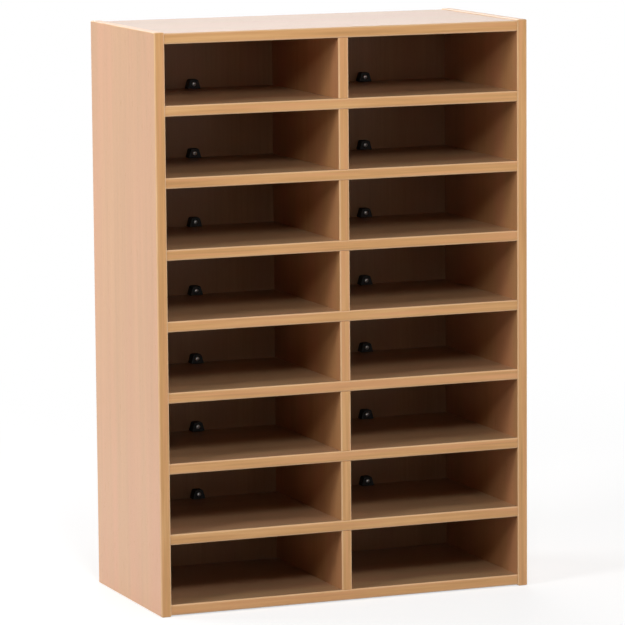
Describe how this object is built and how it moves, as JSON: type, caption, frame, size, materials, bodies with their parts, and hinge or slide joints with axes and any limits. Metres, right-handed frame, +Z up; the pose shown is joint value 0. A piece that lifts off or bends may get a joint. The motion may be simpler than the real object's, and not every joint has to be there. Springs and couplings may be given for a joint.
{
  "type": "pigeonhole mail sorter",
  "caption": "Free-standing pigeonhole unit in beech-faced board: an open-fronted carcass of shelves and short dividers that sorts post, envelopes and paper into compartments.",
  "frame": {"origin": "on the floor, under the middle of the unit's width and depth", "axes": "+Z up, +X to the right of someone facing the open front, +Y from the front to the back"},
  "size_m": [0.674, 0.325, 0.982],
  "materials": {
    "beech_board": "satin beech-effect melamine facing with matching rounded plastic edging",
    "beech_dowel": "bare turned beech",
    "black_plastic": "moulded, slightly glossy",
    "zinc_screw": "bright zinc plate"
  },
  "bodies": {
    "root": {"left_side": "beech_board", "right_side": "beech_board", "top_panel": "beech_board", "bottom_panel": "beech_board", "back_panel": "beech_board", "shelf_1": "beech_board", "shelf_2": "beech_board", "shelf_3": "beech_board", "shelf_4": "beech_board", "shelf_5": "beech_board", "shelf_6": "beech_board", "shelf_7": "beech_board", "divider_1": "beech_board", "divider_2": "beech_board", "divider_3": "beech_board", "divider_4": "beech_board", "divider_5": "beech_board", "divider_6": "beech_board", "divider_7": "beech_board", "divider_8": "beech_board", "top_dowel_left_1": "beech_dowel", "top_dowel_left_2": "beech_dowel", "top_dowel_left_3": "beech_dowel", "top_dowel_right_1": "beech_dowel", "top_dowel_right_2": "beech_dowel", "top_dowel_right_3": "beech_dowel", "bottom_dowel_left_1": "beech_dowel", "bottom_dowel_left_2": "beech_dowel", "bottom_dowel_left_3": "beech_dowel", "bottom_dowel_right_1": "beech_dowel", "bottom_dowel_right_2": "beech_dowel", "bottom_dowel_right_3": "beech_dowel", "joint_block_1_left": "black_plastic", "joint_block_1_right": "black_plastic", "joint_block_2_left": "black_plastic", "joint_block_2_right": "black_plastic", "joint_block_3_left": "black_plastic", "joint_block_3_right": "black_plastic", "joint_block_4_left": "black_plastic", "joint_block_4_right": "black_plastic", "joint_block_5_left": "black_plastic", "joint_block_5_right": "black_plastic", "joint_block_6_left": "black_plastic", "joint_block_6_right": "black_plastic", "joint_block_7_left": "black_plastic", "joint_block_7_right": "black_plastic", "block_screw_1_left": "zinc_screw", "block_screw_1_right": "zinc_screw", "block_screw_2_left": "zinc_screw", "block_screw_2_right": "zinc_screw", "block_screw_3_left": "zinc_screw", "block_screw_3_right": "zinc_screw", "block_screw_4_left": "zinc_screw", "block_screw_4_right": "zinc_screw", "block_screw_5_left": "zinc_screw", "block_screw_5_right": "zinc_screw", "block_screw_6_left": "zinc_screw", "block_screw_6_right": "zinc_screw", "block_screw_7_left": "zinc_screw", "block_screw_7_right": "zinc_screw"}
  },
  "joints": []
}
